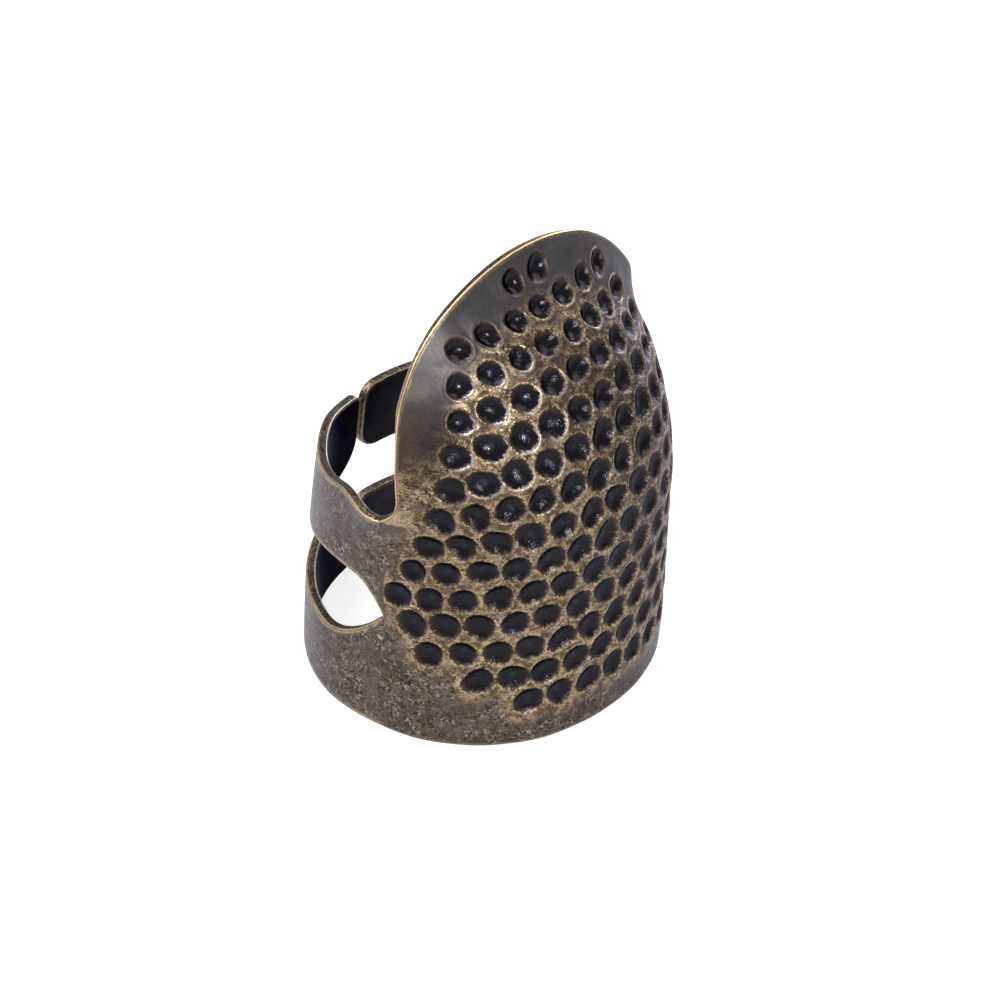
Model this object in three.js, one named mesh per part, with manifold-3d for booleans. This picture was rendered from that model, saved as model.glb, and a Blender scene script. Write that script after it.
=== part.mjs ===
// An open-backed sewing thimble of stamped brass sheet. A dimpled shield covers the finger
// pad and its tip, and two pairs of arms bend round the finger and meet behind it.
// Millimetres, +Z up, the shield faces -Y, and the bottom edge stands on Z = 0.

import * as THREE from 'three';
import { mergeVertices } from 'three/addons/utils/BufferGeometryUtils.js';
import Module from 'manifold-3d';

const wasm = await Module();
wasm.setup();

const { clamp, degToRad, lerp, smoothstep } = THREE.MathUtils;

// The sheet. A place on it is u, the distance round the ring from the middle of the
// shield, positive towards +X, and v, the distance up from the bottom edge.
const SHEET = 0.6;

// Plan of the ring: on each side a front arc, a side arc and a back arc, tangent to each other.
const FRONT_RADIUS = 14.5;
const FRONT_END = degToRad(11.7);
const SIDE_RADIUS = 9.95;
const SIDE_END = degToRad(130);
const BACK_RADIUS = backRadius();
const HALF_ROUND = FRONT_RADIUS * FRONT_END + SIDE_RADIUS * (SIDE_END - FRONT_END)
  + BACK_RADIUS * (Math.PI - SIDE_END);

// Side profile of the shield: upright, then leaning back over the fingertip, then less so.
const UPRIGHT = 12.1;
const LEAN_RADIUS = 17.4;
const LEAN_ANGLE = degToRad(51.9);
const RETURN_RADIUS = 47.3;
const SECTION_TILT = 0.445;      // how much of the lean the shield's cross-sections follow
const TILT_REACH = 2.5;          // their tilt is evened out over this height, up and down
const TILT_STEPS = 11;
const SPREAD = 0.985;            // curvature of the upper cross-sections against the ring's
const SPREAD_START = 8;
const SPREAD_END = 20;

// Outline of the shield: a half ellipse on top, and a hollow fillet down to each shoulder.
const ELLIPSE_WIDTH = 13.52;
const ELLIPSE_HEIGHT = 16.42;
const ELLIPSE_BASE = 14.95;
const SHOULDER = 16.3;           // height of the shield's side edges, where the arms start
const FILLET_HEIGHT = 2.3;
const LIP_FLARE = 0.5;           // how far the free edge turns outward on the left
const RIGHT_FLARE = 0.24;
const RIGHT_START = 2;
const RIGHT_END = 9;
const TIP_FLARE = 0.88;
const TIP_START = 22.6;
const TIP_END = 25.6;
const LIP_WIDTH = 3.3;
const LIP_FADE = [14, 18];       // the heights over which the flare begins
const HOLLOW = 0.2;              // depth of the hollow below the lip, round the tip
const HOLLOW_PLACE = 3.55;
const HOLLOW_WIDTH = 1.5;
const HOLLOW_FADE = [20, 25];

// The arms start at a living hinge, where this model leaves a gap.
const HINGE = 14.85;
const HINGE_GAP = 0.3;
const SEAM = -1.1;               // x of the gap between the arms' ends
const SEAM_GAP = 0.4;
const ARM_BLEND = 5;             // length over which an arm leaves the shield's curve
const ARM_LEAN = 0.0034;         // inward lean of an arm, for each mm of height squared
const ARM_BULGE = 0.25;
const END_DROP_LENGTH = 5;

// The arms' edges, as heights. The slot between two arms narrows towards the back.
const UPPER_HIGH = {
  level: SHOULDER, fillet: 0, filletLength: 1, change: -2, changeFrom: -1, changeTo: 9,
};
const UPPER_LOW = {
  level: 10.3, fillet: -1.65, filletLength: 2.2, change: -1.6, changeFrom: 2, changeTo: 15,
};
const LOWER_HIGH = {
  level: 5, fillet: 3.2, filletLength: 5.5, change: 0.4, changeFrom: 9, changeTo: 17,
};
const BOTTOM = {
  level: 0, fillet: 0, filletLength: 1, change: 0, changeFrom: 0, changeTo: 1,
};

const ARMS = {
  upper_left_arm: {
    side: -1,
    low: { ...UPPER_LOW, change: -2.3 },
    high: UPPER_HIGH,
    lowCorner: 2.2,
    highCorner: 0.8,
    endDrop: 0.8,
  },
  upper_right_arm: {
    side: 1,
    low: { ...UPPER_LOW, change: -1.75 },
    high: { ...UPPER_HIGH, change: -2.75 },
    lowCorner: 1.7,
    highCorner: 1.2,
    endDrop: 0,
  },
  lower_left_arm: {
    side: -1, low: BOTTOM, high: LOWER_HIGH, lowCorner: 0.6, highCorner: 1.2, endDrop: 0,
  },
  lower_right_arm: {
    side: 1,
    low: BOTTOM,
    high: { ...LOWER_HIGH, level: 4.7, change: 0.15 },
    lowCorner: 0.6,
    highCorner: 1.2,
    endDrop: 0,
  },
};

// Dimples: staggered rows, each a number of steps of the pitch long.
const ROW_STEPS = [6, 9, 12, 13, 14, 13, 12, 11, 10, 9, 8, 7, 6, 1];
const PITCH = 2;
const ROW_PITCH = 2.04;
const FIRST_ROW = 3.42;
const ROW_DROOP = 0.0052;        // how far a row sinks, for each mm from the middle squared
const DIMPLE_RADIUS = 0.8;
const DIMPLE_FLOOR_RADIUS = 0.35;
const DIMPLE_DEPTH = 0.32;
const DIMPLE_SIDES = 6;

// Fineness of the meshes
const SHIELD_COLUMNS = 13;       // on each side of the middle
const SHIELD_ROWS = 13;
const ARM_COLUMNS = 20;
const ARM_ROWS = 3;

const brass = (color, roughness) =>
  new THREE.MeshStandardMaterial({ color, roughness, metalness: 1, flatShading: true });

function backRadius() {
  const front = FRONT_RADIUS * Math.sin(FRONT_END);
  const side = SIDE_RADIUS * (Math.sin(SIDE_END) - Math.sin(FRONT_END));
  return (front + side) / Math.sin(SIDE_END);
}

// The ring in plan at u: x, the depth behind the front, and the heading of the wall there.
function ringPoint(u, curvature = 1) {
  const arcs = [
    [FRONT_RADIUS, FRONT_RADIUS * FRONT_END],
    [SIDE_RADIUS, SIDE_RADIUS * (SIDE_END - FRONT_END)],
    [BACK_RADIUS, Infinity],
  ];
  let left = Math.abs(u);
  let heading = 0;
  let x = 0;
  let depth = 0;
  for (const [radius, length] of arcs) {
    const bent = radius / curvature;
    const next = heading + Math.min(left, length) / bent;
    x += bent * (Math.sin(next) - Math.sin(heading));
    depth += bent * (Math.cos(heading) - Math.cos(next));
    heading = next;
    left = Math.max(left - length, 0);
  }
  return { x: Math.sign(u) * x, depth, heading: Math.sign(u) * heading };
}

// The middle line of the shield at v: y, z, and the angle that it leans back.
function profilePoint(v) {
  const leaning = clamp(v - UPRIGHT, 0, LEAN_RADIUS * LEAN_ANGLE);
  const returning = Math.max(v - UPRIGHT - LEAN_RADIUS * LEAN_ANGLE, 0);
  const lean = leaning / LEAN_RADIUS;
  const end = lean - returning / RETURN_RADIUS;
  const y = LEAN_RADIUS * (1 - Math.cos(lean)) + RETURN_RADIUS * (Math.cos(end) - Math.cos(lean));
  const z = Math.min(v, UPRIGHT) + LEAN_RADIUS * Math.sin(lean)
    + RETURN_RADIUS * (Math.sin(lean) - Math.sin(end));
  return { y, z, lean: end };
}

function shieldPoint(u, v) {
  const rise = clamp((v - SPREAD_START) / (SPREAD_END - SPREAD_START), 0, 1);
  const ring = ringPoint(u, 1 - (1 - SPREAD) * rise);
  const profile = profilePoint(v);
  let tilt = 0;
  for (let step = 0; step < TILT_STEPS; step++) {
    const offset = lerp(-TILT_REACH, TILT_REACH, step / (TILT_STEPS - 1));
    tilt += SECTION_TILT * profilePoint(v + offset).lean / TILT_STEPS;
  }
  return new THREE.Vector3(
    ring.x,
    profile.y + ring.depth * Math.cos(tilt),
    profile.z - ring.depth * Math.sin(tilt),
  );
}

function armPoint(u, v) {
  const ring = ringPoint(u);
  const inward = ARM_LEAN * v * v - ARM_BULGE;
  return new THREE.Vector3(
    ring.x - inward * Math.sin(ring.heading),
    ring.depth + inward * Math.cos(ring.heading),
    v,
  );
}

function normalOf(surface, u, v) {
  const step = 0.01;
  const alongU = surface(u + step, v).sub(surface(u - step, v));
  const alongV = surface(u, v + step).sub(surface(u, v - step));
  return alongU.cross(alongV).normalize();
}

// The lip: how far the sheet lies outside the plain curve. It is 0 over most of the shield.
function flare(u, v) {
  const radius = Math.hypot(u / ELLIPSE_WIDTH, Math.max(v - ELLIPSE_BASE, 0) / ELLIPSE_HEIGHT);
  const toEdge = (1 - radius) * (ELLIPSE_WIDTH + ELLIPSE_HEIGHT) / 2;
  const side = lerp(LIP_FLARE, RIGHT_FLARE, smoothstep(u, RIGHT_START, RIGHT_END));
  const edge = lerp(side, TIP_FLARE, smoothstep(v, TIP_START, TIP_END));
  const hollow = Math.exp(-(((toEdge - HOLLOW_PLACE) / HOLLOW_WIDTH) ** 2));
  return edge * clamp(1 - toEdge / LIP_WIDTH, 0, 1) ** 2 * smoothstep(v, ...LIP_FADE)
    - HOLLOW * hollow * smoothstep(v, ...HOLLOW_FADE);
}

// The outer face of the sheet, shield and arms in one.
function outerPoint(u, v) {
  const point = shieldPoint(u, v).addScaledVector(normalOf(shieldPoint, u, v), flare(u, v));
  const arm = smoothstep(Math.abs(u), HINGE, HINGE + ARM_BLEND);
  return point.lerp(armPoint(u, v), arm);
}

function innerPoint(u, v) {
  return outerPoint(u, v).addScaledVector(normalOf(outerPoint, u, v), -SHEET);
}

// A closed body of sheet over a grid of columns, each a u with its lowest and highest v.
function sheetGeometry(columns, rows, spacing) {
  const positions = [];
  for (const place of [outerPoint, innerPoint]) {
    for (const { u, low, high } of columns) {
      for (let row = 0; row <= rows; row++) {
        positions.push(...place(u, lerp(low, high, spacing(row / rows))).toArray());
      }
    }
  }
  const stride = rows + 1;
  const inside = columns.length * stride;
  const faces = [];
  const quad = (a, b, c, d) => faces.push(a, b, c, a, c, d);
  const last = columns.length - 1;
  for (let column = 0; column < last; column++) {
    const here = column * stride;
    const next = here + stride;
    for (let row = 0; row < rows; row++) {
      quad(here + row, next + row, next + row + 1, here + row + 1);
      quad(inside + here + row + 1, inside + next + row + 1, inside + next + row, inside + here + row);
    }
    quad(here, inside + here, inside + next, next);
    quad(here + rows, next + rows, inside + next + rows, inside + here + rows);
  }
  for (let row = 0; row < rows; row++) {
    const end = last * stride + row;
    quad(row, row + 1, inside + row + 1, inside + row);
    quad(end, inside + end, inside + end + 1, end + 1);
  }
  const geometry = new THREE.BufferGeometry();
  geometry.setAttribute('position', new THREE.Float32BufferAttribute(positions, 3));
  geometry.setIndex(faces);
  return geometry;
}

function toSolid(geometry) {
  const bare = geometry.clone();
  bare.deleteAttribute('normal');
  bare.deleteAttribute('uv');
  const merged = mergeVertices(bare, 1e-5);
  return new wasm.Manifold(new wasm.Mesh({
    numProp: 3,
    vertProperties: merged.attributes.position.array,
    triVerts: new Uint32Array(merged.index.array),
  }));
}

function toGeometry(solid) {
  const mesh = solid.getMesh();
  const geometry = new THREE.BufferGeometry();
  geometry.setAttribute('position', new THREE.BufferAttribute(mesh.vertProperties, 3));
  geometry.setIndex(new THREE.BufferAttribute(mesh.triVerts, 1));
  geometry.computeVertexNormals();
  return geometry;
}

// Half the shield's width at height v
function shieldHalfWidth(v) {
  const rise = Math.max(v - ELLIPSE_BASE, 0) / ELLIPSE_HEIGHT;
  const fillet = Math.max(1 - (v - SHOULDER) / FILLET_HEIGHT, 0) ** 2.5;
  const shoulderWidth = ELLIPSE_WIDTH * Math.sqrt(1 - ((SHOULDER - ELLIPSE_BASE) / ELLIPSE_HEIGHT) ** 2);
  return ELLIPSE_WIDTH * Math.sqrt(Math.max(1 - rise * rise, 0))
    + fillet * (HINGE - HINGE_GAP / 2 - shoulderWidth);
}

function shieldColumns() {
  const firstAngle = Math.asin((SHOULDER - ELLIPSE_BASE) / ELLIPSE_HEIGHT);
  const right = [];
  for (let step = 1; step <= SHIELD_COLUMNS; step++) {
    const angle = lerp(Math.PI / 2, firstAngle, step / SHIELD_COLUMNS);
    const high = ELLIPSE_BASE + ELLIPSE_HEIGHT * Math.sin(angle);
    right.push({ u: shieldHalfWidth(high), low: 0, high });
  }
  const left = right.map(({ u, low, high }) => ({ u: -u, low, high })).reverse();
  return [...left, { u: 0, low: 0, high: ELLIPSE_BASE + ELLIPSE_HEIGHT }, ...right];
}

// A tapered cutter, standing on the dimple's floor and pointing out of the sheet.
function dimpleCutter(u, v) {
  const slope = (DIMPLE_RADIUS - DIMPLE_FLOOR_RADIUS) / DIMPLE_DEPTH;
  const height = 2 * DIMPLE_DEPTH;
  const mouth = DIMPLE_FLOOR_RADIUS + slope * height;
  const cutter = new THREE.CylinderGeometry(mouth, DIMPLE_FLOOR_RADIUS, height, DIMPLE_SIDES);
  const outward = normalOf(outerPoint, u, v);
  cutter.applyQuaternion(new THREE.Quaternion().setFromUnitVectors(THREE.Object3D.DEFAULT_UP, outward));
  cutter.translate(...outerPoint(u, v).toArray());
  return cutter;
}

function shieldGeometry() {
  const closerToTheLip = (share) => 1 - (1 - share) ** 1.3;
  let shield = toSolid(sheetGeometry(shieldColumns(), SHIELD_ROWS, closerToTheLip));
  ROW_STEPS.forEach((steps, row) => {
    for (let step = 0; step <= steps; step++) {
      const u = (step - steps / 2) * PITCH;
      const v = FIRST_ROW + row * ROW_PITCH - ROW_DROOP * u * u;
      shield = shield.subtract(toSolid(dimpleCutter(u, v)));
    }
  });
  return toGeometry(shield);
}

// Height of an arm's edge at a distance from the hinge: a fillet at the slot, then one change.
function edgeHeight({ level, fillet, filletLength, change, changeFrom, changeTo }, distance) {
  const rounding = Math.max(1 - distance / filletLength, 0) ** 2;
  return level + fillet * rounding + change * smoothstep(distance, changeFrom, changeTo);
}

// How far a corner of this radius cuts in, at a distance from the arm's end.
function cornerInset(radius, fromEnd) {
  const across = Math.max(radius - fromEnd, 0);
  return radius - Math.sqrt(radius * radius - across * across);
}

// An arm's columns, closer together at both ends. side is -1 on the left and 1 on the right.
function armColumns({ side, low, high, lowCorner, highCorner, endDrop }) {
  const start = HINGE + HINGE_GAP / 2;
  const end = HALF_ROUND - side * SEAM - SEAM_GAP / 2;
  const columns = [];
  for (let step = 0; step <= ARM_COLUMNS; step++) {
    const along = lerp(start, end, (1 - Math.cos(Math.PI * step / ARM_COLUMNS)) / 2);
    const drop = endDrop * smoothstep(END_DROP_LENGTH - (end - along), 0, END_DROP_LENGTH);
    columns.push({
      u: side * along,
      low: edgeHeight(low, along - start) + cornerInset(lowCorner, end - along),
      high: edgeHeight(high, along - start) - drop - cornerInset(highCorner, end - along),
    });
  }
  return side < 0 ? columns.reverse() : columns;
}

const thimble = new THREE.Group();

const shield = new THREE.Mesh(shieldGeometry(), brass(0x6b5a3c, 0.45));
shield.name = 'shield';
thimble.add(shield);

for (const [name, shape] of Object.entries(ARMS)) {
  const evenly = (share) => share;
  const geometry = sheetGeometry(armColumns(shape), ARM_ROWS, evenly);
  geometry.computeVertexNormals();
  const arm = new THREE.Mesh(geometry, brass(0x6a5f52, 0.4));
  arm.name = name;
  thimble.add(arm);
}

// The origin is under the middle of the whole thimble.
const box = new THREE.Box3().setFromObject(thimble);
thimble.position.set(-(box.min.x + box.max.x) / 2, -(box.min.y + box.max.y) / 2, 0);

export default thimble;
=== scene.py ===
"""The thimble's looks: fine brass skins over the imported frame, materials and a plain studio."""
import math

import bmesh
import bpy
import numpy as np
from mathutils import Matrix, Vector


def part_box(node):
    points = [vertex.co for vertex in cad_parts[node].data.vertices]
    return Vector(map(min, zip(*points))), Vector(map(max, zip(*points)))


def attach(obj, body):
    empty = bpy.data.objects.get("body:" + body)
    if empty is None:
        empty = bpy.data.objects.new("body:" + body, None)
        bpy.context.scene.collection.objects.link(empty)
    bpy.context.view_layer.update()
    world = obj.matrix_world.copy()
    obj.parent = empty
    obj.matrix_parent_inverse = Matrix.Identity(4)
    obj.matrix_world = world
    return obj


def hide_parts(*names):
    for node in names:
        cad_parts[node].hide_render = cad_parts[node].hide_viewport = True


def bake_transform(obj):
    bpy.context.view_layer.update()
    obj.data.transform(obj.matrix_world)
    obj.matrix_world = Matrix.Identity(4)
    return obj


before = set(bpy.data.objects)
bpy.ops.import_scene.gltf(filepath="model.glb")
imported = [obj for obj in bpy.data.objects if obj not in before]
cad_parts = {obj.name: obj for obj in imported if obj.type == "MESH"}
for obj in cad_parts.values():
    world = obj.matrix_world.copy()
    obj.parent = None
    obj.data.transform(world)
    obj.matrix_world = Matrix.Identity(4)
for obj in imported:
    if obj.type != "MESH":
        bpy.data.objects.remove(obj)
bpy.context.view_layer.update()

MM = 0.001                              # the frame is in metres
FRONT_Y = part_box("shield")[0][1] / MM   # where the shield's front lies in the frame

# --- The sheet's shape, as in the CAD part, in millimetres. A place on the sheet is u, the
# distance round the ring from the middle of the shield, and v, the distance up from the bottom.

SHEET = 0.6
FRONT_RADIUS = 14.5
FRONT_END = math.radians(11.7)
SIDE_RADIUS = 9.95
SIDE_END = math.radians(130)
BACK_RADIUS = (FRONT_RADIUS * math.sin(FRONT_END)
               + SIDE_RADIUS * (math.sin(SIDE_END) - math.sin(FRONT_END))) / math.sin(SIDE_END)
HALF_ROUND = (FRONT_RADIUS * FRONT_END + SIDE_RADIUS * (SIDE_END - FRONT_END)
              + BACK_RADIUS * (math.pi - SIDE_END))

UPRIGHT = 12.1
LEAN_RADIUS = 17.4
LEAN_ANGLE = math.radians(51.9)
RETURN_RADIUS = 47.3
SECTION_TILT = 0.445
TILT_SPREAD = np.linspace(-2.5, 2.5, 11)   # the sections' tilt is evened out over this height
SPREAD = 0.985
SPREAD_START = 8
SPREAD_END = 20

ELLIPSE_WIDTH = 13.52
ELLIPSE_HEIGHT = 16.42
ELLIPSE_BASE = 14.95
SHOULDER = 16.3
FILLET_HEIGHT = 2.3
FILLET_POWER = 2.5
LIP_FLARE = 0.5                  # how far the free edge turns outward on the left
RIGHT_FLARE = 0.24
RIGHT_START = 2
RIGHT_END = 9
TIP_FLARE = 0.88
TIP_START = 22.6
TIP_END = 25.6
LIP_WIDTH = 3.3
LIP_FADE = (14, 18)
HOLLOW = 0.2                     # depth of the hollow below the lip, round the tip
HOLLOW_PLACE = 3.55
HOLLOW_WIDTH = 1.5
HOLLOW_FADE = (20, 25)

HINGE = 14.85
HINGE_GAP = 0.3                  # in the CAD model; the skins meet
SEAM = -1.1
SEAM_GAP = 0.4
ARM_BLEND = 5
ARM_LEAN = 0.0034
ARM_BULGE = 0.25
END_DROP_LENGTH = 5

# Each arm edge: level, fillet, fillet length, change, and the distances it changes between
UPPER_HIGH = (SHOULDER, 0, 1, -2, -1, 9)
UPPER_LOW = (10.3, -1.65, 2.2, -1.6, 2, 15)
LOWER_HIGH = (5, 3.2, 5.5, 0.4, 9, 17)
BOTTOM = (0, 0, 1, 0, 0, 1)
SLOT_POINT = 8.38
SLOT_OPENING = 0.25              # the slot is at its full height this far from its point

# Each arm: side, low edge, high edge, low corner radius, high corner radius, drop at its end
ARMS = {
    "upper_left_arm": (-1, (*UPPER_LOW[:3], -2.3, *UPPER_LOW[4:]), UPPER_HIGH, 2.2, 0.8, 0.8),
    "upper_right_arm": (1, (*UPPER_LOW[:3], -1.75, *UPPER_LOW[4:]),
                        (*UPPER_HIGH[:3], -2.75, *UPPER_HIGH[4:]), 1.7, 1.2, 0),
    "lower_left_arm": (-1, BOTTOM, LOWER_HIGH, 0.6, 1.2, 0),
    "lower_right_arm": (1, BOTTOM, (4.7, *LOWER_HIGH[1:3], 0.15, *LOWER_HIGH[4:]),
                        0.6, 1.2, 0),
}

ROW_STEPS = (6, 9, 12, 13, 14, 13, 12, 11, 10, 9, 8, 7, 6, 1)
PITCH = 2
ROW_PITCH = 2.04
FIRST_ROW = 3.42
ROW_DROOP = 0.0052

# What the skins add to the CAD shape
DIMPLE_RADIUS = 0.93
DIMPLE_DEPTH = 0.36
DIMPLE_POWER = 2.1               # the bowl's steepness: 2 is a parabola
DIMPLE_RIM = 0.002               # how softly the bowl meets the land
SMALLER_AT_TIP = 0.16            # the topmost dimples are smaller by this share
SMALLER_FROM = 20
SMALLER_TO = 28
JITTER = 0.035                   # how far the centres stray
SIZE_SPREAD = 0.03
LEAST_OVAL = 0.02
MOST_OVAL = 0.09
BURR = 0.04                      # raised rim round each dimple; place and width are in radii
BURR_PLACE = 1.08
BURR_WIDTH = 0.1
SWELL = 0.07                     # how far the dimpled area stands proud
SWELL_END = 2.4                  # where the swelling ends, in radii
HIGHLIGHT_SIDE = math.radians(-50)    # the side of each dimple's rim where the painted highlight arcs lie
INNER_BUMP = 0.2                 # how far each dimple bulges on the inner face
INNER_BUMP_RADIUS = 1.05
EDGE_ROUND = 0.14                # radius of the cut edge's rounded corners
EDGE_TURN = 4                    # steps in each rounded corner of the cut edge
INNER_WEAR = 0.4                 # how worn the cut edge's inner corner is, beside the outer's 1
FADE = 0.8                       # the rounding fades out over this length to the slot's point
THINNEST = 0.01                  # radius that is left there
# Slight unevenness of the sheet: waves along u and v in radians per millimetre, and their phase
WAVES = ((0.9, 0.25, 0.4), (-0.35, 1.1, 2.1), (1.7, -0.8, 4.0), (0.5, 2.2, 1.3))
WAVE_HEIGHT = 0.012

# How fine the skins are
SHIELD_COLUMNS = 150             # on each side of the middle
SHIELD_ROWS = 236
OUTLINE_STEPS = 4000
HEIGHT_WEIGHT = 0.45             # the columns lie closer together where the edge is flat
FADE_ROWS = 3                    # the relief fades out over these rows at the free edges
ARM_COLUMNS = 110
ARM_ROWS = 28
EVEN_SHARE = 0.2                 # the rest of an arm's columns crowd towards its ends
FINE_STEP = 0.01
SMOOTHING_STEP = 0.2             # a longer step, which evens out the normals that flare the lip
SHARP = math.radians(62)
FAR = 9.0                        # stands for a dimple or an edge that is out of reach
REACH = 3                        # dimples further off than this aren't looked at


def smoothstep(x, low, high):
    """Rises smoothly from 0 to 1 while x goes from low to high."""
    share = np.clip((x - low) / (high - low), 0, 1)
    return share * share * (3 - 2 * share)


def ring_point(u, curvature=1.0):
    """The ring in plan at u: x, the depth behind the front, and the heading of the wall."""
    arcs = ((FRONT_RADIUS, FRONT_RADIUS * FRONT_END),
            (SIDE_RADIUS, SIDE_RADIUS * (SIDE_END - FRONT_END)),
            (BACK_RADIUS, math.inf))
    left = np.abs(u)
    heading = np.zeros_like(left)
    x = np.zeros_like(left)
    depth = np.zeros_like(left)
    for radius, length in arcs:
        bent = radius / curvature
        after = heading + np.minimum(left, length) / bent
        x = x + bent * (np.sin(after) - np.sin(heading))
        depth = depth + bent * (np.cos(heading) - np.cos(after))
        heading = after
        left = np.maximum(left - length, 0)
    return np.sign(u) * x, depth, np.sign(u) * heading


def leans(v):
    """How far the shield leans back at v: before it starts to return, and in all."""
    lean = np.clip(v - UPRIGHT, 0, LEAN_RADIUS * LEAN_ANGLE) / LEAN_RADIUS
    return lean, lean - np.maximum(v - UPRIGHT - LEAN_RADIUS * LEAN_ANGLE, 0) / RETURN_RADIUS


def shield_point(u, v):
    """The shield's sheet without its lip: it stands upright, leans back and returns a little."""
    rise = np.clip((v - SPREAD_START) / (SPREAD_END - SPREAD_START), 0, 1)
    x, depth, _ = ring_point(u, 1 - (1 - SPREAD) * rise)
    lean, end = leans(v)
    y = LEAN_RADIUS * (1 - np.cos(lean)) + RETURN_RADIUS * (np.cos(end) - np.cos(lean))
    z = (np.minimum(v, UPRIGHT) + LEAN_RADIUS * np.sin(lean)
         + RETURN_RADIUS * (np.sin(lean) - np.sin(end)))
    tilt = SECTION_TILT * sum(leans(v + off)[1] for off in TILT_SPREAD) / len(TILT_SPREAD)
    return np.stack([x, y + depth * np.cos(tilt), z - depth * np.sin(tilt)], -1)


def arm_point(u, v):
    """The ring that the arms follow, which bulges a little and leans inward as it rises."""
    x, depth, heading = ring_point(u)
    inward = ARM_LEAN * v * v - ARM_BULGE
    return np.stack([x - inward * np.sin(heading), depth + inward * np.cos(heading), v], -1)


def unit(vectors):
    return vectors / np.linalg.norm(vectors, axis=-1, keepdims=True)


def normal_of(surface, u, v, step=FINE_STEP):
    """Unit vectors out of a surface's outer face."""
    along_u = surface(u + step, v) - surface(u - step, v)
    along_v = surface(u, v + step) - surface(u, v - step)
    return unit(np.cross(along_u, along_v))


def to_rim(u, v):
    """Distance in from the shield's free edge, near enough."""
    radius = np.hypot(u / ELLIPSE_WIDTH, np.maximum(v - ELLIPSE_BASE, 0) / ELLIPSE_HEIGHT)
    return (1 - radius) * (ELLIPSE_WIDTH + ELLIPSE_HEIGHT) / 2


def sheet_point(u, v):
    """The outer face of the sheet without its dimples."""
    inward = to_rim(u, v)
    side = LIP_FLARE + (RIGHT_FLARE - LIP_FLARE) * smoothstep(u, RIGHT_START, RIGHT_END)
    edge = side + (TIP_FLARE - side) * smoothstep(v, TIP_START, TIP_END)
    hollow = np.exp(-((inward - HOLLOW_PLACE) / HOLLOW_WIDTH) ** 2) * smoothstep(v, *HOLLOW_FADE)
    flare = edge * np.clip(1 - inward / LIP_WIDTH, 0, 1) ** 2 * smoothstep(v, *LIP_FADE)
    flare = flare - HOLLOW * hollow
    for along_u, along_v, phase in WAVES:
        flare = flare + WAVE_HEIGHT * np.sin(along_u * u + along_v * v + phase)
    point = shield_point(u, v) + normal_of(shield_point, u, v, SMOOTHING_STEP) * flare[..., None]
    arm = smoothstep(np.abs(u), HINGE, HINGE + ARM_BLEND)[..., None]
    return point * (1 - arm) + arm_point(u, v) * arm


def upward(u, v):
    """The sheet's own upward direction."""
    return unit(sheet_point(u, v + FINE_STEP) - sheet_point(u, v - FINE_STEP))


def dimple_centres():
    """u, v, size, and how oval and in which direction, for each dimple: punched ones vary."""
    rng = np.random.default_rng(11)
    centres = []
    for row, steps in enumerate(ROW_STEPS):
        for step in range(steps + 1):
            u = (step - steps / 2) * PITCH
            v = FIRST_ROW + row * ROW_PITCH - ROW_DROOP * u * u
            off_u, off_v = rng.normal(0, JITTER, 2)
            smaller = 1 - SMALLER_AT_TIP * smoothstep(v, SMALLER_FROM, SMALLER_TO)
            size = (1 + rng.normal(0, SIZE_SPREAD)) * smaller
            oval = rng.uniform(LEAST_OVAL, MOST_OVAL)
            centres.append((u + off_u, v + off_v, size, oval, rng.uniform(0, 2 * math.pi)))
    return centres


DIMPLES = dimple_centres()


def nearest_dimple(u, v):
    """Distance to the nearest dimple's centre, as a share of its radius, and how much the place
    lies on the side of the rim where the painted highlight arcs lie, from -1 to 1."""
    nearest = np.full(u.shape, FAR)
    worn = np.zeros(u.shape)
    for centre_u, centre_v, size, oval, turn in DIMPLES:
        close = (np.abs(u - centre_u) < REACH) & (np.abs(v - centre_v) < REACH)
        across, along = u[close] - centre_u, v[close] - centre_v
        angle = np.arctan2(along, across)
        shape = 1 + oval * np.cos(2 * angle - turn) + oval / 2 * np.cos(3 * angle + turn)
        distance = np.hypot(across, along) / (DIMPLE_RADIUS * size * shape)
        worn[close] = np.where(distance < nearest[close], np.cos(angle - HIGHLIGHT_SIDE), worn[close])
        nearest[close] = np.minimum(nearest[close], distance)
    return nearest, worn


def bowl(near, power):
    """1 in the middle of a dimple and 0 outside it, with a softened rim."""
    inside = 1 - near ** power
    return (inside + np.sqrt(inside * inside + 4 * DIMPLE_RIM)) / 2


def edge_height(edge, distance):
    """The height of an arm's edge at a distance from the arm's root."""
    level, fillet, fillet_length, change, change_from, change_to = edge
    rounding = np.maximum(1 - distance / fillet_length, 0) ** 2
    return level + fillet * rounding + change * smoothstep(distance, change_from, change_to)


def corner_inset(radius, from_end):
    """How far a rounded corner takes an edge in, at a distance from the arm's end."""
    across = np.clip(radius - from_end, 0, radius)
    return radius - np.sqrt(radius * radius - across * across)


# --- Skins: closed meshes over the sheet, with the values that their materials read


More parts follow.
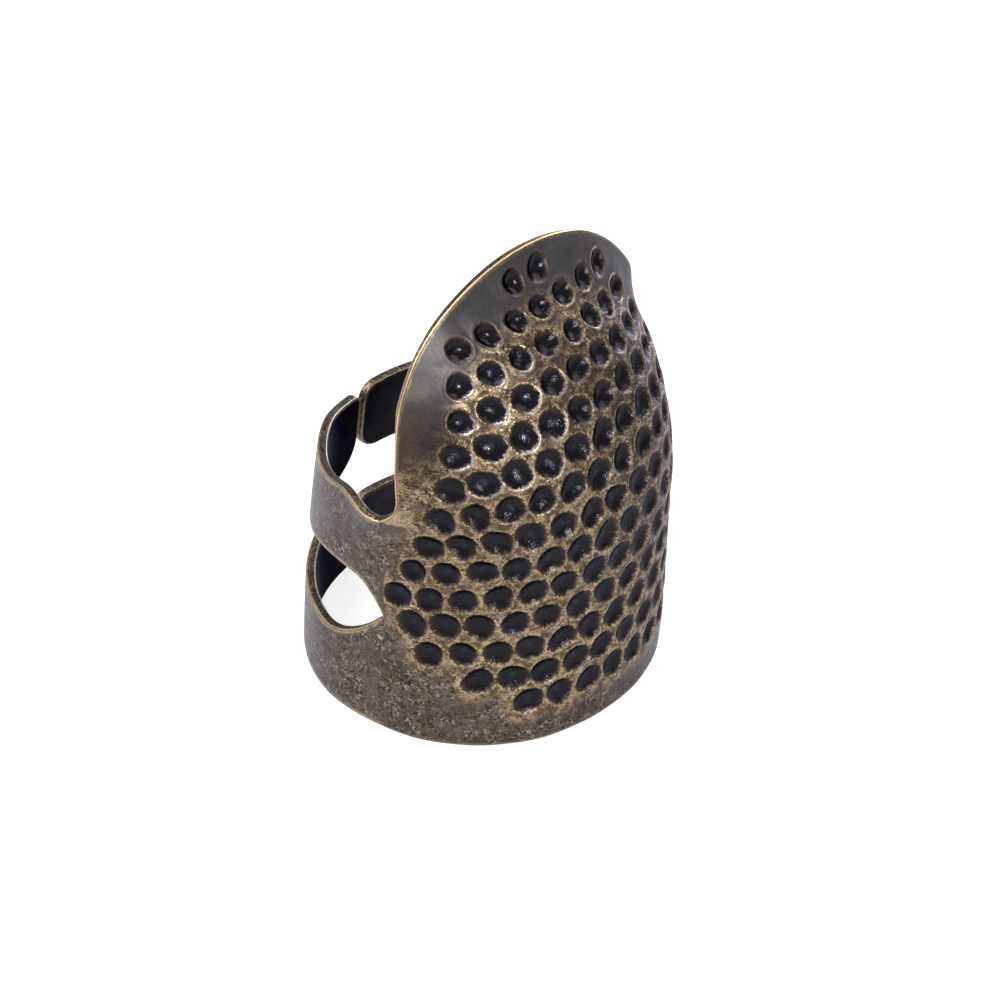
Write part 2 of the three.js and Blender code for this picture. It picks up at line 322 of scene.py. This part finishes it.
class Skin:
    """Gathers the points and faces of one closed mesh, and what its materials read."""

    OUTSIDE, INSIDE, CUT = range(3)
    VALUES = ("near", "rim", "corner", "worn", "shield")

    def __init__(self):
        self.points = []
        self.values = {name: [] for name in self.VALUES}
        self.places = []
        self.faces = []
        self.kinds = []
        self.count = 0

    def add(self, points, u, v, layer, **values):
        """Adds an array of points, and returns their indices in the same shape."""
        shape = points.shape[:-1]
        self.points.append(points.reshape(-1, 3))
        place = np.stack([np.broadcast_to(axis, shape) for axis in (u, v, layer)], -1)
        self.places.append(place.reshape(-1, 3))
        for name, kept in self.values.items():
            kept.append(np.broadcast_to(values.get(name, 0.0), shape).reshape(-1))
        size = int(np.prod(shape))
        indices = np.arange(self.count, self.count + size).reshape(shape)
        self.count += size
        return indices

    def face(self, kind, *corners):
        self.faces.append([int(corner) for corner in corners])
        self.kinds.append(kind)

    def grid(self, kind, indices):
        for here, after in zip(indices[:-1], indices[1:]):
            for row in range(len(here) - 1):
                self.face(kind, here[row], after[row], after[row + 1], here[row + 1])

    def cut_edge(self, outer, inner, u, v, ends, radius, side=1):
        """Rounds the cut edge from the outer border's indices to the inner's. ends are the
        directions out of the sheet at the border's two ends, and side is -1 on a border that
        runs clockwise. Returns the strip's indices."""
        points = sheet_point(u, v)
        normals = normal_of(sheet_point, u, v)
        outward = side * unit(np.cross(unit(np.gradient(points, axis=0)), normals))
        lengths = np.linalg.norm(np.diff(points, axis=0), axis=1)
        travelled = np.concatenate([[0], np.cumsum(lengths)])
        for end, distance in ((ends[0], travelled), (ends[1], travelled[-1] - travelled)):
            share = smoothstep(distance, 0, FADE)[:, None]
            outward = unit(end * (1 - share) + outward * share)
        strip = [outer]
        for turn in range(2 * EDGE_TURN):
            far = turn >= EDGE_TURN
            angle = math.pi / 2 * (turn + 1 - far) / EDGE_TURN
            depth = radius * (1 - math.cos(angle))
            if far:
                depth = SHEET - radius * (1 + math.cos(angle))
            place = points + outward * math.sin(angle) * radius[:, None] - normals * depth[:, None]
            corner = INNER_WEAR * abs(math.sin(2 * angle)) if far else math.sin(2 * angle) ** 2
            strip.append(self.add(place, u, v, depth, corner=corner))
        strip.append(inner)
        strip = np.stack(strip, 1)
        self.grid(self.CUT, strip)
        return strip

    def build(self, name, materials):
        mesh = bpy.data.meshes.new(name)
        points = np.concatenate(self.points)
        points[:, 1] += FRONT_Y
        mesh.from_pydata((points * MM).tolist(), [], self.faces)
        mesh.polygons.foreach_set("material_index", self.kinds)
        for kind, kept in self.values.items():
            layer = mesh.attributes.new(kind, "FLOAT", "POINT")
            layer.data.foreach_set("value", np.concatenate(kept).astype(np.float32))
        layer = mesh.attributes.new("place", "FLOAT_VECTOR", "POINT")
        layer.data.foreach_set("vector", np.concatenate(self.places).astype(np.float32).reshape(-1))
        for material in materials:
            mesh.materials.append(material)
        work = bmesh.new()
        work.from_mesh(mesh)
        bmesh.ops.recalc_face_normals(work, faces=work.faces)
        work.to_mesh(mesh)
        work.free()
        mesh.shade_smooth()
        mesh.set_sharp_from_angle(angle=SHARP)
        piece = bpy.data.objects.new(name, mesh)
        bpy.context.scene.collection.objects.link(piece)
        return piece


def shield_outline():
    """u and v along half of the shield's free edge, set in by the rounding, from the tip."""
    angle = np.linspace(math.pi / 2, math.asin((SHOULDER - ELLIPSE_BASE) / ELLIPSE_HEIGHT),
                        OUTLINE_STEPS)
    v = ELLIPSE_BASE + ELLIPSE_HEIGHT * np.sin(angle)
    fillet = np.maximum(1 - (v - SHOULDER) / FILLET_HEIGHT, 0) ** FILLET_POWER
    ellipse = ELLIPSE_WIDTH * np.cos(angle)
    u = ellipse + fillet * (HINGE - ellipse[-1])
    along = unit(np.stack([np.gradient(u), np.gradient(v)], -1))
    u = u + along[:, 1] * EDGE_ROUND
    v = v - along[:, 0] * EDGE_ROUND
    u[-1] = HINGE
    v[-1] = SHOULDER - EDGE_ROUND
    lengths = np.hypot(np.diff(u), HEIGHT_WEIGHT * np.diff(v))
    travelled = np.concatenate([[0], np.cumsum(lengths)])
    stops = np.linspace(0, travelled[-1], SHIELD_COLUMNS + 1)
    return np.interp(stops, travelled, u), np.interp(stops, travelled, v)


def shield_skin():
    """The shield's closed mesh, with its dimples."""
    skin = Skin()
    half_u, half_v = shield_outline()
    u = np.concatenate([-half_u[:0:-1], half_u])
    high = np.concatenate([half_v[:0:-1], half_v])
    share = np.linspace(0, 1, SHIELD_ROWS + 1)
    v = EDGE_ROUND + (high - EDGE_ROUND)[:, None] * share
    u = np.repeat(u[:, None], SHIELD_ROWS + 1, 1)
    points = sheet_point(u, v)
    normals = normal_of(sheet_point, u, v)
    near, worn = nearest_dimple(u, v)
    rim = np.minimum(v, np.where(v > SHOULDER, to_rim(u, v), FAR))
    burr = BURR * np.exp(-((near - BURR_PLACE) / BURR_WIDTH) ** 2)
    swell = SWELL * (1 - smoothstep(near, 1, SWELL_END))
    relief = burr + swell - DIMPLE_DEPTH * bowl(near, DIMPLE_POWER)
    edge_fade = smoothstep(np.arange(SHIELD_ROWS + 1), 0, FADE_ROWS)
    edge_fade = np.minimum(edge_fade, edge_fade[::-1])
    outer = skin.add(points + normals * (relief * edge_fade)[..., None], u, v, 0,
                     near=near, rim=rim, worn=worn, shield=1.0)

    # The inner face is half as fine, apart from its top and bottom borders.
    bulge = INNER_BUMP * (1 - smoothstep(near * DIMPLE_RADIUS, 0, INNER_BUMP_RADIUS)) * edge_fade
    deep = points - normals * (SHEET + bulge)[..., None]
    coarse = (slice(None, None, 2), slice(2, -1, 2))
    inner = np.full(u.shape, -1)
    inner[coarse] = skin.add(deep[coarse], u[coarse], v[coarse], SHEET,
                             near=near[coarse], rim=rim[coarse])
    strips = []
    for row, flip in ((0, 1), (-1, -1)):
        inner[:, row] = skin.add(deep[:, row], u[:, row], v[:, row], SHEET, near=FAR)
        order = slice(None, None, flip)
        border_u, border_v = u[order, row], v[order, row]
        up = upward(border_u[[0, -1]], border_v[[0, -1]])
        radius = np.full(len(border_u), EDGE_ROUND)
        strips.append(skin.cut_edge(
            outer[order, row], inner[order, row], border_u, border_v, up * -flip, radius))
    skin.grid(Skin.OUTSIDE, outer)
    last = SHIELD_ROWS
    for column in range(0, len(u) - 1, 2):
        for row in range(0, last, 2):
            low = [inner[column, row], inner[column + 2, row]]
            top = [inner[column + 2, row + 2], inner[column, row + 2]]
            if row == 0:
                low.insert(1, inner[column + 1, row])
            if row + 2 == last:
                top.insert(1, inner[column + 1, row + 2])
            skin.face(Skin.INSIDE, *low, *top)

    # The ends that meet the arms
    for column in (0, -1):
        for row in range(0, last, 2):
            skin.face(Skin.CUT, *outer[column, row:row + 3],
                      inner[column, row + 2], inner[column, row])
    for strip in strips:
        skin.face(Skin.CUT, *strip[0])
        skin.face(Skin.CUT, *strip[-1])
    return skin


def arm_skin(side, low_edge, high_edge, low_corner, high_corner, end_drop):
    """One arm's closed mesh, from the hinge line to its free end."""
    skin = Skin()
    end = HALF_ROUND - side * SEAM - SEAM_GAP / 2 - EDGE_ROUND
    share = np.linspace(0, 1, ARM_COLUMNS + 1)
    share = EVEN_SHARE * share + (1 - EVEN_SHARE) * (1 - np.cos(math.pi * share)) / 2
    along = HINGE + (end - HINGE) * share
    distance = along - HINGE - HINGE_GAP / 2
    drop = end_drop * smoothstep(END_DROP_LENGTH - (end - along), 0, END_DROP_LENGTH)
    borders = []
    radii = []
    for edge, inset, corner in ((low_edge, 1, low_corner), (high_edge, -1, high_corner)):
        height = edge_height(edge, distance)
        radius = np.full(along.shape, EDGE_ROUND)
        if 0 < edge[0] < SHOULDER:
            opening = smoothstep(along - HINGE, 0, SLOT_OPENING)
            height = SLOT_POINT + (height - SLOT_POINT) * opening
            radius = radius * smoothstep(along - HINGE, 0, FADE) + THINNEST
        height = height + inset * (radius + corner_inset(corner - EDGE_ROUND, end - along))
        borders.append(height - (drop if inset < 0 else 0))
        radii.append(radius)
    low, high = borders
    rows = np.linspace(0, 1, ARM_ROWS + 1)
    v = low[:, None] + (high - low)[:, None] * rows
    u = np.repeat(side * along[:, None], ARM_ROWS + 1, 1)
    points = sheet_point(u, v)
    deep = points - normal_of(sheet_point, u, v) * SHEET
    rim = np.minimum(np.minimum(v - low[:, None], high[:, None] - v), (end - along)[:, None])
    outer = skin.add(points, u, v, 0, near=FAR, rim=rim)
    inner = skin.add(deep, u, v, SHEET, near=FAR, rim=rim)
    skin.grid(Skin.OUTSIDE, outer)
    skin.grid(Skin.INSIDE, inner)

    # The free border runs along the bottom, up the end and back along the top.
    def border(grid):
        return np.concatenate([grid[:, 0], grid[-1, 1:-1], grid[::-1, -1]])

    radius = np.concatenate([radii[0], np.full(ARM_ROWS - 1, EDGE_ROUND), radii[1][::-1]])
    border_u, border_v = border(u), border(v)
    up = upward(border_u[[0, -1]], border_v[[0, -1]])
    strip = skin.cut_edge(
        border(outer), border(inner), border_u, border_v, (-up[0], up[1]), radius, side)
    for row in range(ARM_ROWS):
        skin.face(Skin.CUT, outer[0, row], outer[0, row + 1], inner[0, row + 1], inner[0, row])
    skin.face(Skin.CUT, *strip[0])
    skin.face(Skin.CUT, *strip[-1])
    return skin


# --- Materials


class Nodes:
    """A short way to write a material's nodes. Sockets may be given numbers or other nodes'."""

    def __init__(self, name):
        self.material = bpy.data.materials.new(name)
        self.material.use_nodes = True
        self.tree = self.material.node_tree
        self.tree.nodes.clear()
        self.output = self.tree.nodes.new("ShaderNodeOutputMaterial")

    def new(self, kind, settings=None, **inputs):
        node = self.tree.nodes.new("ShaderNode" + kind)
        for key, value in (settings or {}).items():
            setattr(node, key, value)
        for key, value in inputs.items():
            self.set(node, key.replace("_", " "), value)
        return node

    def set(self, node, key, value):
        socket = node.inputs[int(key)] if key.isdigit() else node.inputs[key]
        if isinstance(value, bpy.types.NodeSocket):
            self.tree.links.new(value, socket)
        elif isinstance(value, tuple) and len(value) == 3 and socket.type == "RGBA":
            socket.default_value = (*value, 1)
        else:
            socket.default_value = value

    def math(self, operation, a, b=0.0):
        node = self.new("Math", {"operation": operation})
        self.set(node, "0", a)
        self.set(node, "1", b)
        return node.outputs[0]

    def times(self, a, b):
        return self.math("MULTIPLY", a, b)

    def plus(self, a, b):
        return self.math("ADD", a, b)

    def minus(self, a, b):
        return self.math("SUBTRACT", a, b)

    def ramp(self, value, low, high, to_low=0.0, to_high=1.0):
        """Rises smoothly from to_low to to_high while value goes from low to high."""
        node = self.new("MapRange", {"interpolation_type": "SMOOTHSTEP"}, Value=value)
        limits = {"From Min": low, "From Max": high, "To Min": to_low, "To Max": to_high}
        for key, number in limits.items():
            node.inputs[key].default_value = number
        return node.outputs[0]

    def mix(self, share, a, b):
        node = self.new("Mix", {"data_type": "RGBA"})
        self.set(node, "0", share)
        self.set(node, "6", a)
        self.set(node, "7", b)
        return node.outputs[2]

    def value(self, name):
        return self.new("Attribute", {"attribute_name": name}).outputs["Fac"]

    def place(self):
        return self.new("Attribute", {"attribute_name": "place"}).outputs["Vector"]

    def across_and_height(self, place):
        split = self.new("SeparateXYZ", Vector=place)
        return split.outputs["X"], split.outputs["Y"]

    def noise(self, vector, scale, detail, roughness=0.55, distortion=0.0, offset=(0, 0, 0)):
        moved = self.new("Mapping", Vector=vector)
        moved.inputs["Location"].default_value = offset
        return self.new("TexNoise", Vector=moved.outputs[0], Scale=scale, Detail=detail,
                        Roughness=roughness, Distortion=distortion).outputs["Fac"]

    def strokes(self, vector, scale, width, offset=(0, 0, 0)):
        """Short wandering lines: where a noise crosses its middle."""
        field = self.noise(vector, scale, 1.5, 0.5, 0.6, offset)
        return self.ramp(self.math("ABSOLUTE", self.minus(field, 0.5)), 0, width, 1, 0)

    def finish(self, **inputs):
        shader = self.new("BsdfPrincipled", **inputs)
        self.tree.links.new(shader.outputs[0], self.output.inputs[0])
        return self.material


DARK = (0.018, 0.015, 0.014)
PIT = (0.016, 0.015, 0.018)
GLINT = (0.080, 0.088, 0.120)
SMOKE = (0.026, 0.025, 0.028)
SLATE = (0.058, 0.056, 0.060)
RUSSET = (0.062, 0.043, 0.029)
GREY = (0.108, 0.092, 0.081)
LILAC = (0.160, 0.158, 0.182)
BROWN = (0.092, 0.069, 0.050)
UMBER = (0.040, 0.027, 0.019)
DUN = (0.108, 0.083, 0.058)
TAN = (0.330, 0.236, 0.136)
GOLD = (0.400, 0.305, 0.185)
PALE = (0.400, 0.340, 0.270)
ARC_HIGHLIGHT = (0.420, 0.380, 0.370)
BRIGHT = (0.620, 0.440, 0.220)
LACQUER = (0.020, 0.020, 0.022)
THIN_LACQUER = (0.030, 0.029, 0.031)

# Where the finish changes, in millimetres across or up the sheet or in from its rim
SHEEN_FROM = (4, 9)
SHEEN_TO = (12, 18)
SIDE_HEIGHT = (8, 11)
SIDE_RIM = (1.5, 4.5)
SHADED_HEIGHT = (4, 13)
SHADED_ACROSS = (-5, 4)
BORDER_HEIGHT = (18.5, 22.5)
BORDER_RIM = (1.8, 3.8)
SLATE_HEIGHT = (22, 27)
RUSSET_RIM = (0.3, 2.8)
RUSSET_HEIGHT = (20, 28)
RING_HEIGHT = (4, 14)
RUBBED_RIM = (0, 0.3)
INNER_RIM = (0, 0.35)
BRIGHT_HEIGHT = (15, 18)
RIGHT_SIDE = (3.5, 7)
HIGHLIGHT_ACROSS = -6.3           # the middle of the painted highlight at the upper left
HIGHLIGHT_HEIGHT = 23
HIGHLIGHT_AREA = (8, 36)          # squares of the distances where it starts and stops fading

# Bands round each dimple, in dimple radii from its centre
LAND_BAND = (1.15, 2.2)
RING_INNER = (0.98, 1.05)
RING_OUTER = (1.06, 1.3)
MOUTH_BAND = (0.92, 1.1)
PIT_BAND = (0.7, 0.98)
GLINT_BAND = (0.1, 0.32)
ARC_HIGHLIGHT_INNER = (0.86, 0.95)
ARC_HIGHLIGHT_OUTER = (1.0, 1.12)
GRAZING_HIGHLIGHT_INNER = (0.98, 1.06)
GRAZING_HIGHLIGHT_OUTER = (1.12, 1.22)

# Roughness, as greys, because colours are what the Mix node mixes
POLISHED = (0.28,) * 3
WEATHERED = (0.46,) * 3
BORDER_ROUGH = (0.42,) * 3
PIT_ROUGH = (0.14,) * 3
LACQUER_SMOOTH = (0.30,) * 3
LACQUER_ROUGH = (0.42,) * 3
CUT_ROUGHNESS = 0.38

BRASS_TINT = (0.75, 0.75, 0.82)
LACQUER_TINT = (0.30, 0.30, 0.36)
OUTSIDE_RELIEF = 0.035 * MM
INSIDE_RELIEF = 0.01 * MM
CUT_RELIEF = 0.03 * MM


def outside_brass():
    """Antiqued brass: dark patina, rubbed back to tan metal on the ridges and edges."""
    n = Nodes("antiqued_brass")
    place = n.place()
    near = n.value("near")
    rim = n.value("rim")
    across, height = n.across_and_height(place)

    broad = n.noise(place, 0.35, 4, 0.6)
    middling = n.noise(place, 1.6, 4, 0.65, 0.4, (3, 7, 1))
    fine = n.noise(place, 8, 3, 0.6, 0, (9, 2, 5))
    worms = n.noise(place, 3.4, 0.6, 0.5, 1.8, (1, 4, 2))
    patches = n.ramp(n.noise(place, 0.45, 3, 0.6, 0, (2, 2, 8)), 0.36, 0.62)
    light = n.times(n.ramp(worms, 0.55, 0.7), n.ramp(patches, 0, 1, 0.25, 0.8))
    dark = n.times(n.ramp(worms, 0.48, 0.34), n.ramp(patches, 0, 1, 0.5, 1))

    # Plain metal away from the dimples, with a painted lilac sheen on the shield's right
    plain = n.mix(n.ramp(middling, 0.38, 0.66), GREY, BROWN)
    plain = n.mix(n.ramp(broad, 0.45, 0.7, 0, 0.5), plain, UMBER)
    # Painted sheen: lilac over the plain metal on the shield's right
    lilac_sheen = n.times(n.ramp(across, *SHEEN_FROM, 0, 0.8), n.ramp(across, *SHEEN_TO, 1, 0))
    plain = n.mix(lilac_sheen, plain, LILAC)
    plain = n.mix(n.ramp(fine, 0.4, 0.7, 0.0, 0.3), plain, DARK)

    # The land between the dimples and along the shield's side edges, rubbed to tan
    rubbed = n.times(n.ramp(near, *LAND_BAND, 1, 0), n.ramp(broad, 0.25, 0.5, 0.6, 1))
    sides = n.times(n.ramp(height, *SIDE_HEIGHT), n.ramp(rim, *SIDE_RIM, 1, 0))
    sides = n.times(sides, n.value("shield"))
    # Painted shade: the land is browner towards the top and the right, where less light falls
    shaded_land = n.times(n.ramp(height, *SHADED_HEIGHT), n.ramp(across, *SHADED_ACROSS, 0.3, 1))
    land = n.mix(shaded_land, TAN, DUN)
    land = n.mix(sides, land, TAN)
    land = n.mix(n.ramp(middling, 0.42, 0.58, 0, 0.75), land, UMBER)
    land = n.mix(n.ramp(fine, 0.42, 0.66, 0, 0.5), land, DARK)
    colour = n.mix(n.math("MAXIMUM", rubbed, sides), plain, land)

    # Short dark and light strokes over plain metal and land
    colour = n.mix(n.times(dark, 0.85), colour, DARK)
    stroke = n.mix(n.ramp(middling, 0.4, 0.6), PALE, DUN)
    colour = n.mix(n.times(light, 0.8), colour, stroke)

    # The upper border stays dark and smooth
    upper = n.times(n.ramp(height, *BORDER_HEIGHT), n.ramp(rim, *BORDER_RIM, 1, 0))
    smooth = n.mix(n.ramp(height, *SLATE_HEIGHT), SMOKE, SLATE)
    warm = n.times(n.ramp(rim, *RUSSET_RIM, 0.85, 0), n.ramp(height, *RUSSET_HEIGHT, 1, 0.1))
    smooth = n.mix(warm, smooth, RUSSET)
    colour = n.mix(n.times(upper, 0.95), colour, smooth)

    # Worn gold here and there round each dimple and along the sheet's edges. The noise in
    # ragged makes the dimples' bands uneven.
    ragged = n.times(n.minus(middling, 0.5), 0.45)
    ragged = n.plus(n.plus(near, ragged), n.times(n.minus(worms, 0.5), 0.3))
    ring = n.times(n.ramp(ragged, *RING_INNER), n.ramp(ragged, *RING_OUTER, 1, 0))
    ring = n.times(ring, n.ramp(worms, 0.42, 0.62, 0.05, 1))
    ring = n.times(ring, n.ramp(height, *RING_HEIGHT, 0.9, 0.55))
    colour = n.mix(n.times(ring, n.ramp(upper, 0, 1, 1, 0.1)), colour, GOLD)
    edge = n.times(n.ramp(rim, *RUBBED_RIM, 0.8, 0), n.ramp(middling, 0.4, 0.6, 0.3, 1))
    colour = n.mix(edge, colour, GOLD)

    # Dimples, black inside, with a brown band at the mouth and a painted bluish glint at the bottom
    # The brown band at the mouth is patina in the hollow, and also painted shade at the dimple's
    # edge
    colour = n.mix(n.ramp(ragged, *MOUTH_BAND, 1, 0), colour, UMBER)
    inside = n.ramp(ragged, *PIT_BAND, 1, 0)
    colour = n.mix(inside, colour, PIT)
    # The place of the painted highlight at the upper left, which the glints and highlight arcs
    # follow
    beside = n.minus(across, HIGHLIGHT_ACROSS)
    above = n.minus(height, HIGHLIGHT_HEIGHT)
    away = n.plus(n.times(beside, beside), n.times(above, above))
    highlight_area = n.ramp(away, *HIGHLIGHT_AREA, 1, 0)
    # Painted reflection: a bluish glint in each dimple's bottom, strongest in the painted highlight
    # at the upper left
    painted_glint = n.times(n.ramp(near, *GLINT_BAND, 1, 0), n.ramp(middling, 0.4, 0.6, 0.1, 1))
    colour = n.mix(n.times(painted_glint, n.ramp(highlight_area, 0, 1, 0.15, 1)), colour, GLINT)

    # Painted highlight arcs on the dimples' rims, on the side that faces the light, most at the
    # upper left
    highlight_arc = n.times(n.ramp(ragged, *ARC_HIGHLIGHT_INNER), n.ramp(ragged, *ARC_HIGHLIGHT_OUTER, 1, 0))
    highlight_arc = n.times(highlight_arc, n.ramp(n.value("worn"), 0.1, 0.7))
    highlight_arc = n.times(highlight_arc, n.ramp(fine, 0.35, 0.55, 0.3, 1))
    highlight_arc = n.times(highlight_arc, n.ramp(highlight_area, 0, 1, 0.15, 1))
    colour = n.mix(n.times(highlight_arc, n.ramp(upper, 0, 1, 1, 0.3)), colour, ARC_HIGHLIGHT)

    # On the shield's right, painted highlight arcs on the rims' other side, where the light grazes
    # them
    highlight_arc = n.times(n.ramp(near, *GRAZING_HIGHLIGHT_INNER), n.ramp(near, *GRAZING_HIGHLIGHT_OUTER, 1, 0))
    highlight_arc = n.times(highlight_arc, n.ramp(n.value("worn"), -0.2, -0.6))
    highlight_arc = n.times(highlight_arc, n.ramp(across, *RIGHT_SIDE, 0, 0.7))
    colour = n.mix(highlight_arc, colour, PALE)

    # Gloss and fine relief
    rough = n.mix(n.ramp(fine, 0.3, 0.7), POLISHED, WEATHERED)
    rough = n.mix(upper, rough, BORDER_ROUGH)
    rough = n.mix(inside, rough, PIT_ROUGH)
    relief = n.times(n.minus(worms, 0.5), n.ramp(patches, 0, 1, 0.6, 1.6))
    relief = n.plus(relief, n.times(fine, 0.35))
    relief = n.times(relief, n.ramp(upper, 0, 1, 1, 0.15))
    relief = n.times(relief, n.ramp(inside, 0, 1, 1, 1.2))
    bump = n.new("Bump", Height=relief, Strength=0.7, Distance=OUTSIDE_RELIEF)
    return n.finish(Base_Color=colour, Roughness=rough, Metallic=1.0, Normal=bump.outputs[0],
                    Specular_Tint=BRASS_TINT)


def inside_brass():
    """The inner face: black lacquer with a satin sheen and faint rubbing."""
    n = Nodes("dark_inner_lacquer")
    place = n.place()
    cloud = n.noise(place, 0.7, 4, 0.6)
    grain = n.noise(place, 12, 3, 0.6, 0, (4, 4, 4))
    rubs = n.strokes(place, 1.4, 0.02, (6, 1, 2))
    colour = n.mix(n.ramp(cloud, 0.35, 0.7), LACQUER, THIN_LACQUER)
    colour = n.mix(n.times(rubs, 0.25), colour, UMBER)
    colour = n.mix(n.ramp(n.value("rim"), *INNER_RIM, 0.5, 0), colour, UMBER)
    rough = n.mix(n.ramp(grain, 0.3, 0.7), LACQUER_SMOOTH, LACQUER_ROUGH)
    bump = n.new("Bump", Height=grain, Strength=0.25, Distance=INSIDE_RELIEF)
    return n.finish(Base_Color=colour, Roughness=rough, Metallic=1.0, Normal=bump.outputs[0],
                    Specular_Tint=LACQUER_TINT)


def cut_brass():
    """The cut edge: brown and mottled, with a bright worn line along its outer corner, and
    fainter ones beside it and along the inner corner."""
    n = Nodes("cut_edge_brass")
    place = n.place()
    corner = n.value("corner")
    grain = n.noise(place, 5, 4, 0.7, 0.5)
    broad = n.noise(place, 0.6, 3, 0.6, 0, (3, 3, 3))
    colour = n.mix(n.ramp(grain, 0.38, 0.62), DARK, BROWN)
    colour = n.mix(n.times(n.strokes(place, 3, 0.05), 0.5), colour, TAN)
    _, height = n.across_and_height(place)
    line = n.times(n.ramp(corner, 0.35, 0.8), n.ramp(broad, 0.35, 0.6, 0.6, 1))
    colour = n.mix(line, colour, n.mix(n.ramp(height, *BRIGHT_HEIGHT), GOLD, BRIGHT))
    beside_line = n.minus(0.12, n.math("ABSOLUTE", n.minus(corner, 0.3)))
    colour = n.mix(n.ramp(beside_line, 0, 0.1, 0, 0.45), colour, PALE)
    bump = n.new("Bump", Height=grain, Strength=0.6, Distance=CUT_RELIEF)
    return n.finish(Base_Color=colour, Roughness=CUT_ROUGHNESS, Metallic=1.0,
                    Normal=bump.outputs[0])


MATERIALS = (outside_brass(), inside_brass(), cut_brass())

shield = shield_skin().build("shield_skin", MATERIALS)
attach(shield, "shield")
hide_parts("shield")

for node, shape in ARMS.items():
    arm = arm_skin(*shape).build(node + "_skin", MATERIALS)
    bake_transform(arm)
    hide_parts(node)


# --- Studio: pale floor, soft lights, and the camera


def direction(azimuth, elevation):
    """Towards that side. Azimuth 0 is in front of the shield, and -90 is on its left."""
    a, e = math.radians(azimuth), math.radians(elevation)
    return Vector((math.sin(a) * math.cos(e), -math.cos(a) * math.cos(e), math.sin(e)))


MIDDLE = Vector((0, FRONT_Y * MM + 0.010, 0.015))   # of the thimble, about

CAMERA_AZIMUTH = -48.75
CAMERA_ELEVATION = 37.56
CAMERA_ROLL = math.radians(-2.28)
CAMERA_DISTANCE = 0.2778
LENS = 171.7
AIM = (0.00043, -0.00391)        # aimed this far to the right of and above the middle

back = direction(CAMERA_AZIMUTH, CAMERA_ELEVATION)
turned = math.radians(CAMERA_AZIMUTH)
level = Vector((math.cos(turned), math.sin(turned), 0))
rise = back.cross(level)
right = level * math.cos(CAMERA_ROLL) - rise * math.sin(CAMERA_ROLL)
up = level * math.sin(CAMERA_ROLL) + rise * math.cos(CAMERA_ROLL)
position = MIDDLE + back * CAMERA_DISTANCE
backward = (position - MIDDLE - right * AIM[0] - up * AIM[1]).normalized()
right = (right - backward * right.dot(backward)).normalized()
up = backward.cross(right)
data = bpy.data.cameras.new("camera")
data.lens = LENS
data.clip_start = 0.01
camera = bpy.data.objects.new("camera", data)
camera.matrix_world = Matrix((
    (right.x, up.x, backward.x, position.x),
    (right.y, up.y, backward.y, position.y),
    (right.z, up.z, backward.z, position.z),
    (0, 0, 0, 1)))
bpy.context.scene.collection.objects.link(camera)
bpy.context.scene.camera = camera

WHITE = (1.0, 1.0, 1.0)
COOL = (0.80, 0.83, 1.0)
TENT_WHITE = (0.95, 0.96, 1.0, 1)
TENT_BRIGHT_SIDE = direction(-60, 0)
TENT_STRENGTHS = {"From Min": -0.6, "From Max": 0.8, "To Min": 0.45, "To Max": 0.95}

# Each softbox: azimuth and elevation in degrees, distance, width and height in metres, watts
# and colour
SOFTBOXES = (
    (-135, 50, 0.5, 0.22, 0.22, 2.6, WHITE),
    (-15, 28, 0.5, 0.12, 0.12, 1.2, WHITE),
    (80, 40, 0.6, 0.40, 0.40, 1.6, WHITE),
    (170, 68, 0.6, 0.30, 0.30, 2.0, WHITE),
    (102, 14, 0.5, 0.12, 0.26, 1.3, COOL),
)
for number, softbox in enumerate(SOFTBOXES):
    azimuth, elevation, distance, width, height, watts, colour = softbox
    data = bpy.data.lights.new(f"softbox_{number}", "AREA")
    data.shape = "RECTANGLE"
    data.size = width
    data.size_y = height
    data.energy = watts
    data.color = colour
    lamp = bpy.data.objects.new(f"softbox_{number}", data)
    lamp.location = MIDDLE + direction(azimuth, elevation) * distance
    lamp.rotation_euler = direction(azimuth, elevation).to_track_quat("Z", "Y").to_euler()
    bpy.context.scene.collection.objects.link(lamp)

# A light tent, brighter on its front left side
world = bpy.data.worlds.new("tent")
world.use_nodes = True
tent = world.node_tree.nodes
facing = tent.new("ShaderNodeVectorMath")
facing.operation = "DOT_PRODUCT"
facing.inputs[1].default_value = TENT_BRIGHT_SIDE
shade = tent.new("ShaderNodeMapRange")
for key, number in TENT_STRENGTHS.items():
    shade.inputs[key].default_value = number
heading = tent.new("ShaderNodeTexCoord").outputs["Generated"]
tent_links = world.node_tree.links
tent_links.new(heading, facing.inputs[0])
tent_links.new(facing.outputs["Value"], shade.inputs["Value"])
tent_links.new(shade.outputs["Result"], tent["Background"].inputs["Strength"])
tent["Background"].inputs["Color"].default_value = TENT_WHITE
bpy.context.scene.world = world
bpy.context.scene.view_settings.view_transform = "Standard"

FLOOR_SIZE = 3
FLOOR_GLOW = 0.78                # the paper's own light, which brings it close to white
FLOOR_ROUGHNESS = 0.9
PAPER = (0.30, 0.30, 0.30)
PAPER_FIBRE = (0.33, 0.33, 0.33)
FIBRE_SCALE = 600
mesh = bpy.data.meshes.new("floor")
half = FLOOR_SIZE / 2
floor_corners = [(-half, -half, 0), (half, -half, 0), (half, half, 0), (-half, half, 0)]
mesh.from_pydata(floor_corners, [], [(0, 1, 2, 3)])
floor = bpy.data.objects.new("floor", mesh)
bpy.context.scene.collection.objects.link(floor)
paper = Nodes("pale_paper")
fibre = paper.noise(paper.new("TexCoord").outputs["Object"], FIBRE_SCALE, 2)
sheet_colour = paper.mix(paper.ramp(fibre, 0.3, 0.7), PAPER, PAPER_FIBRE)
mesh.materials.append(paper.finish(
    Base_Color=sheet_colour, Roughness=FLOOR_ROUGHNESS, Emission_Color=WHITE,
    Emission_Strength=FLOOR_GLOW))
